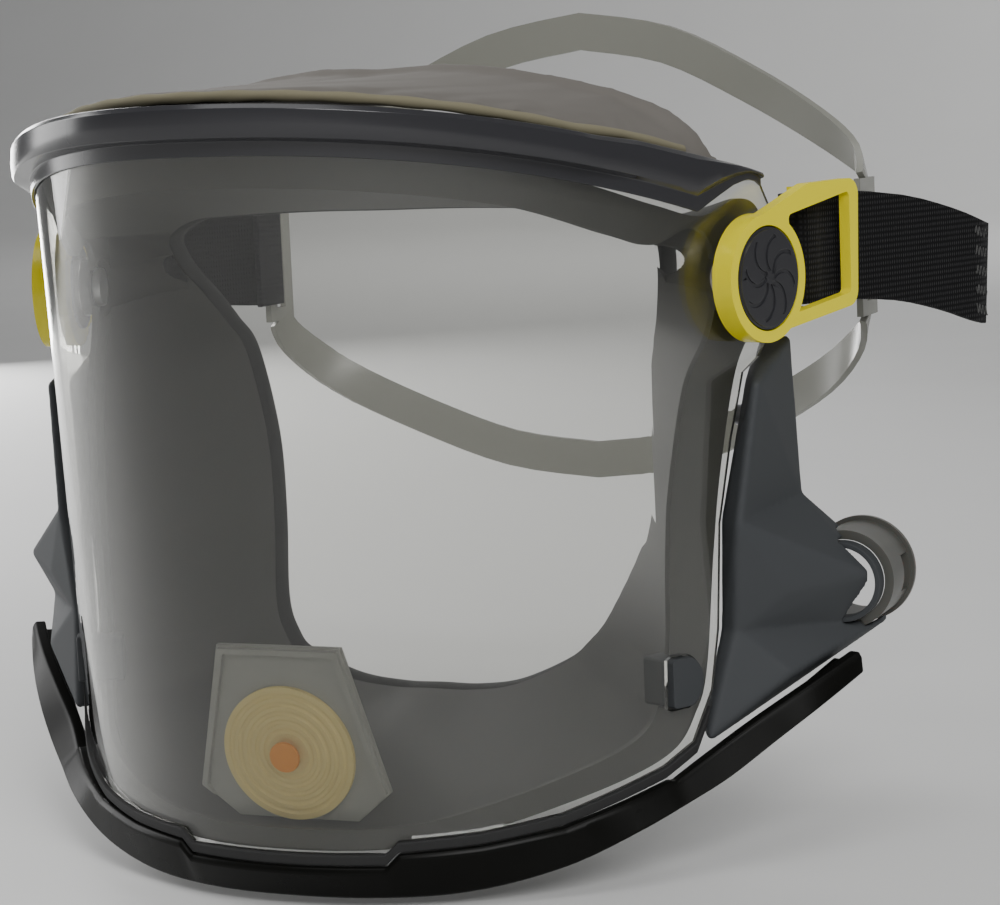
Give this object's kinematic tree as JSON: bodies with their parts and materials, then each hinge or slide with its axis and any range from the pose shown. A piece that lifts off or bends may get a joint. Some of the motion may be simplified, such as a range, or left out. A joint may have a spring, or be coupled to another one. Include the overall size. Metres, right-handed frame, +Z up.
{
  "type": "powered air respirator visor",
  "caption": "Full-face visor with padded brow, exhalation valve, air-feed side cover with hose port, and a tilting head harness on strap buckles.",
  "frame": {"origin": "midway between the two temple pivots, where the wearer's head sits", "axes": "+Z up, -Y the way the wearer faces, +X to the wearer's left"},
  "size_m": [0.282, 0.2826, 0.229],
  "materials": {
    "clear_visor": "clear polished polycarbonate",
    "black_satin": "satin moulded",
    "black_gloss": "gloss",
    "frame_grey": "satin moulded",
    "black_rubber": "matt",
    "brow_felt": "brushed knit over foam",
    "olive_piping": "woven",
    "valve_plate": "satin",
    "valve_amber": "translucent silicone",
    "valve_orange": "satin silicone",
    "buckle_yellow": "gloss moulded",
    "strap_black": "ribbed elastic weave",
    "cradle_grey": "translucent, flexible",
    "steel": "plain"
  },
  "bodies": {
    "mask": {"visor": "clear_visor", "face_frame": "frame_grey", "face_seal": "black_rubber", "brow_frame": "black_gloss", "forehead_seal": "brow_felt", "brow_piping": "olive_piping", "side_cover_left": "black_satin", "side_cover_right": "black_satin", "chin_cover": "black_satin", "chin_gasket": "black_rubber", "valve_housing": "valve_plate", "valve_seat": "valve_amber", "valve_stud": "valve_orange", "pivot_bush_left": "black_satin", "pivot_bush_right": "black_satin", "pivot_bolt_left": "steel", "pivot_bolt_right": "steel", "hose_port": "black_satin", "air_duct": "black_satin", "cover_screws": "steel"},
    "harness": {"strap_left": "strap_black", "strap_right": "strap_black", "head_cradle": "cradle_grey"},
    "buckle_left": {"buckle_left": "buckle_yellow"},
    "buckle_right": {"buckle_right": "buckle_yellow"},
    "knob_left": {"pivot_knob_left": "black_gloss"},
    "knob_right": {"pivot_knob_right": "black_gloss"},
    "latch_left": {"latch_tab_left": "black_satin"},
    "latch_right": {"latch_tab_right": "black_satin"},
    "valve": {"valve_membrane": "valve_amber"}
  },
  "joints": [
    {"name": "harness_tilt", "type": "hinge", "parent": "mask", "child": "harness", "pos_m": [0, 0, 0], "axis": [1, 0, 0], "range_deg": [-10, 12]},
    {"name": "buckle_left_turn", "type": "hinge", "parent": "mask", "child": "buckle_left", "pos_m": [0.1, 0, 0], "axis": [0.9511, -0.309, 0], "range_deg": [-10, 12]},
    {"name": "buckle_right_turn", "type": "hinge", "parent": "mask", "child": "buckle_right", "pos_m": [-0.1, 0, 0], "axis": [-0.9511, -0.309, 0], "range_deg": [-12, 10]},
    {"name": "knob_left_turn", "type": "hinge", "parent": "mask", "child": "knob_left", "pos_m": [0.1, 0, 0], "axis": [0.9511, -0.309, 0], "range_deg": [-90, 90]},
    {"name": "knob_right_turn", "type": "hinge", "parent": "mask", "child": "knob_right", "pos_m": [-0.1, 0, 0], "axis": [-0.9511, -0.309, 0], "range_deg": [-90, 90]},
    {"name": "latch_left_press", "type": "slide", "parent": "mask", "child": "latch_left", "axis": [-0.886, 0.4637, 0], "range_m": [0, 0.002], "stiffness_N_per_m": 800},
    {"name": "latch_right_press", "type": "slide", "parent": "mask", "child": "latch_right", "axis": [0.886, 0.4637, 0], "range_m": [0, 0.002], "stiffness_N_per_m": 800},
    {"name": "valve_lift", "type": "slide", "parent": "mask", "child": "valve", "axis": [0, -0.9874, -0.158], "range_m": [0, 0.0015], "stiffness_N_per_m": 60}
  ],
  "couplings": [
    {"joint": "buckle_left_turn", "follows": "harness_tilt", "ratio": 0.951},
    {"joint": "buckle_right_turn", "follows": "harness_tilt", "ratio": -0.951}
  ]
}
